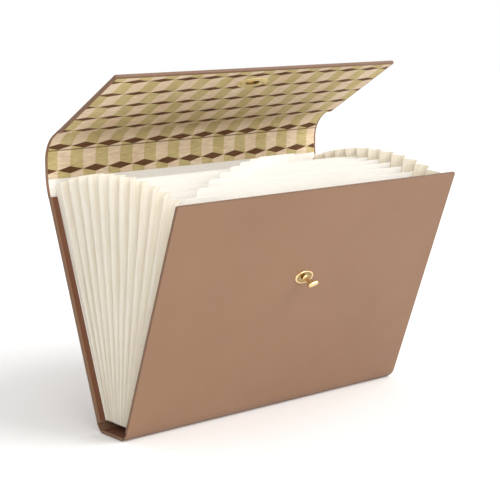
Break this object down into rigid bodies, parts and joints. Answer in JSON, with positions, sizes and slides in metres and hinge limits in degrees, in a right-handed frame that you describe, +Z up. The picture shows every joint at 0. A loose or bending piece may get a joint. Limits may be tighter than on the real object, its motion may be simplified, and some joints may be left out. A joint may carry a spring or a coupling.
{
  "type": "expanding file folder",
  "caption": "Expanding file folder that stands open on its spine, with pleated pockets, tabbed dividers, a fold-over flap and a turn lock.",
  "frame": {"origin": "middle of the spine's underside, on the surface that the folder stands on", "axes": "+X along the folder's width, +Y to the back cover, +Z up"},
  "size_m": [0.34, 0.2024, 0.3279],
  "materials": {
    "leatherette": "fine-grained tan leatherette, low sheen",
    "dark_paper": "matt dark brown paper",
    "board": "grey-brown board, cut edges",
    "cream_card": "smooth cream card",
    "patterned_lining": "ribbed paper printed with a tumbling-block pattern",
    "brass": "polished brass"
  },
  "bodies": {
    "spine": {"spine_board": "board", "spine_wrap": "leatherette", "spine_liner": "dark_paper", "front_hinge_strip": "leatherette", "rear_hinge_strip": "leatherette"},
    "back_cover": {"back_board": "board", "back_wrap": "leatherette", "back_liner": "dark_paper", "back_leaf": "cream_card", "gusset_01": "cream_card", "rear_fold_wrap": "leatherette", "rear_guard_strip": "cream_card"},
    "front_cover": {"front_board": "board", "front_wrap": "leatherette", "front_liner": "dark_paper", "lock_plate": "brass"},
    "divider_01": {"divider_01": "cream_card", "gusset_02": "cream_card"},
    "divider_02": {"divider_02": "cream_card", "gusset_03": "cream_card"},
    "divider_03": {"divider_03": "cream_card", "gusset_04": "cream_card"},
    "divider_04": {"divider_04": "cream_card", "gusset_05": "cream_card"},
    "divider_05": {"divider_05": "cream_card", "gusset_06": "cream_card"},
    "divider_06": {"divider_06": "cream_card", "gusset_07": "cream_card"},
    "divider_07": {"divider_07": "cream_card", "gusset_08": "cream_card"},
    "divider_08": {"divider_08": "cream_card", "gusset_09": "cream_card"},
    "divider_09": {"divider_09": "cream_card", "gusset_10": "cream_card"},
    "divider_10": {"divider_10": "cream_card", "gusset_11": "cream_card"},
    "divider_11": {"divider_11": "cream_card", "gusset_12": "cream_card"},
    "front_leaf": {"front_leaf": "cream_card"},
    "top_spine": {"top_spine_wrap": "leatherette", "top_spine_lining": "patterned_lining", "middle_fold_strip": "leatherette"},
    "upper_fold": {"upper_fold_wrap": "leatherette", "upper_fold_lining": "patterned_lining", "front_fold_strip": "leatherette"},
    "flap": {"flap_board": "board", "flap_wrap": "leatherette", "flap_lining": "patterned_lining", "eyelet_plate": "brass", "eyelet_backing": "brass"},
    "lock_knob": {"turn_knob": "brass", "lock_washer": "brass"}
  },
  "joints": [
    {"name": "back_cover_hinge", "type": "hinge", "parent": "spine", "child": "back_cover", "pos_m": [0, 0.0195, 0.004], "axis": [1, 0, 0], "range_deg": [-8, 20], "deforming": ["rear_hinge_strip"]},
    {"name": "front_cover_hinge", "type": "hinge", "parent": "spine", "child": "front_cover", "pos_m": [0, -0.0195, 0.004], "axis": [1, 0, 0], "range_deg": [-20, 8], "deforming": ["front_hinge_strip"]},
    {"name": "rear_fold", "type": "hinge", "parent": "back_cover", "child": "top_spine", "pos_m": [0, 0.09947, 0.21972], "axis": [1, 0, 0], "range_deg": [-16.8, 42], "deforming": ["rear_fold_wrap", "rear_guard_strip"]},
    {"name": "middle_fold", "type": "hinge", "parent": "top_spine", "child": "upper_fold", "pos_m": [0, 0.09878, 0.25146], "axis": [1, 0, 0], "range_deg": [-7, 18], "deforming": ["middle_fold_strip"]},
    {"name": "flap_hinge", "type": "hinge", "parent": "upper_fold", "child": "flap", "pos_m": [0, 0.08155, 0.27005], "axis": [1, 0, 0], "range_deg": [-140, 41], "deforming": ["front_fold_strip"]},
    {"name": "pocket_01", "type": "hinge", "parent": "back_cover", "child": "divider_01", "pos_m": [0, 0.018, 0.004], "axis": [1, 0, 0], "range_deg": [-3.33, 1.33], "deforming": ["gusset_01"]},
    {"name": "pocket_02", "type": "hinge", "parent": "divider_01", "child": "divider_02", "pos_m": [0, 0.01473, 0.004], "axis": [1, 0, 0], "range_deg": [-3.33, 1.33], "deforming": ["gusset_02"]},
    {"name": "pocket_03", "type": "hinge", "parent": "divider_02", "child": "divider_03", "pos_m": [0, 0.01145, 0.004], "axis": [1, 0, 0], "range_deg": [-3.33, 1.33], "deforming": ["gusset_03"]},
    {"name": "pocket_04", "type": "hinge", "parent": "divider_03", "child": "divider_04", "pos_m": [0, 0.00818, 0.004], "axis": [1, 0, 0], "range_deg": [-3.33, 1.33], "deforming": ["gusset_04"]},
    {"name": "pocket_05", "type": "hinge", "parent": "divider_04", "child": "divider_05", "pos_m": [0, 0.00491, 0.004], "axis": [1, 0, 0], "range_deg": [-3.33, 1.33], "deforming": ["gusset_05"]},
    {"name": "pocket_06", "type": "hinge", "parent": "divider_05", "child": "divider_06", "pos_m": [0, 0.00164, 0.004], "axis": [1, 0, 0], "range_deg": [-3.33, 1.33], "deforming": ["gusset_06"]},
    {"name": "pocket_07", "type": "hinge", "parent": "divider_06", "child": "divider_07", "pos_m": [0, -0.00164, 0.004], "axis": [1, 0, 0], "range_deg": [-3.33, 1.33], "deforming": ["gusset_07"]},
    {"name": "pocket_08", "type": "hinge", "parent": "divider_07", "child": "divider_08", "pos_m": [0, -0.00491, 0.004], "axis": [1, 0, 0], "range_deg": [-3.33, 1.33], "deforming": ["gusset_08"]},
    {"name": "pocket_09", "type": "hinge", "parent": "divider_08", "child": "divider_09", "pos_m": [0, -0.00818, 0.004], "axis": [1, 0, 0], "range_deg": [-3.33, 1.33], "deforming": ["gusset_09"]},
    {"name": "pocket_10", "type": "hinge", "parent": "divider_09", "child": "divider_10", "pos_m": [0, -0.01145, 0.004], "axis": [1, 0, 0], "range_deg": [-3.33, 1.33], "deforming": ["gusset_10"]},
    {"name": "pocket_11", "type": "hinge", "parent": "divider_10", "child": "divider_11", "pos_m": [0, -0.01473, 0.004], "axis": [1, 0, 0], "range_deg": [-3.33, 1.33], "deforming": ["gusset_11"]},
    {"name": "pocket_12", "type": "hinge", "parent": "divider_11", "child": "front_leaf", "pos_m": [0, -0.018, 0.004], "axis": [1, 0, 0], "range_deg": [-3.33, 1.33], "deforming": ["gusset_12"]},
    {"name": "knob_turn", "type": "hinge", "parent": "front_cover", "child": "lock_knob", "pos_m": [0, -0.07046, 0.13702], "axis": [0, -0.9397, -0.342], "range_deg": [-15, 75]}
  ],
  "couplings": [
    {"joint": "front_cover_hinge", "follows": "back_cover_hinge", "ratio": -1},
    {"joint": "rear_fold", "follows": "back_cover_hinge", "ratio": 2.1},
    {"joint": "pocket_01", "follows": "back_cover_hinge", "ratio": -0.16667},
    {"joint": "pocket_02", "follows": "back_cover_hinge", "ratio": -0.16667},
    {"joint": "pocket_03", "follows": "back_cover_hinge", "ratio": -0.16667},
    {"joint": "pocket_04", "follows": "back_cover_hinge", "ratio": -0.16667},
    {"joint": "pocket_05", "follows": "back_cover_hinge", "ratio": -0.16667},
    {"joint": "pocket_06", "follows": "back_cover_hinge", "ratio": -0.16667},
    {"joint": "pocket_07", "follows": "back_cover_hinge", "ratio": -0.16667},
    {"joint": "pocket_08", "follows": "back_cover_hinge", "ratio": -0.16667},
    {"joint": "pocket_09", "follows": "back_cover_hinge", "ratio": -0.16667},
    {"joint": "pocket_10", "follows": "back_cover_hinge", "ratio": -0.16667},
    {"joint": "pocket_11", "follows": "back_cover_hinge", "ratio": -0.16667},
    {"joint": "pocket_12", "follows": "back_cover_hinge", "ratio": -0.16667}
  ]
}
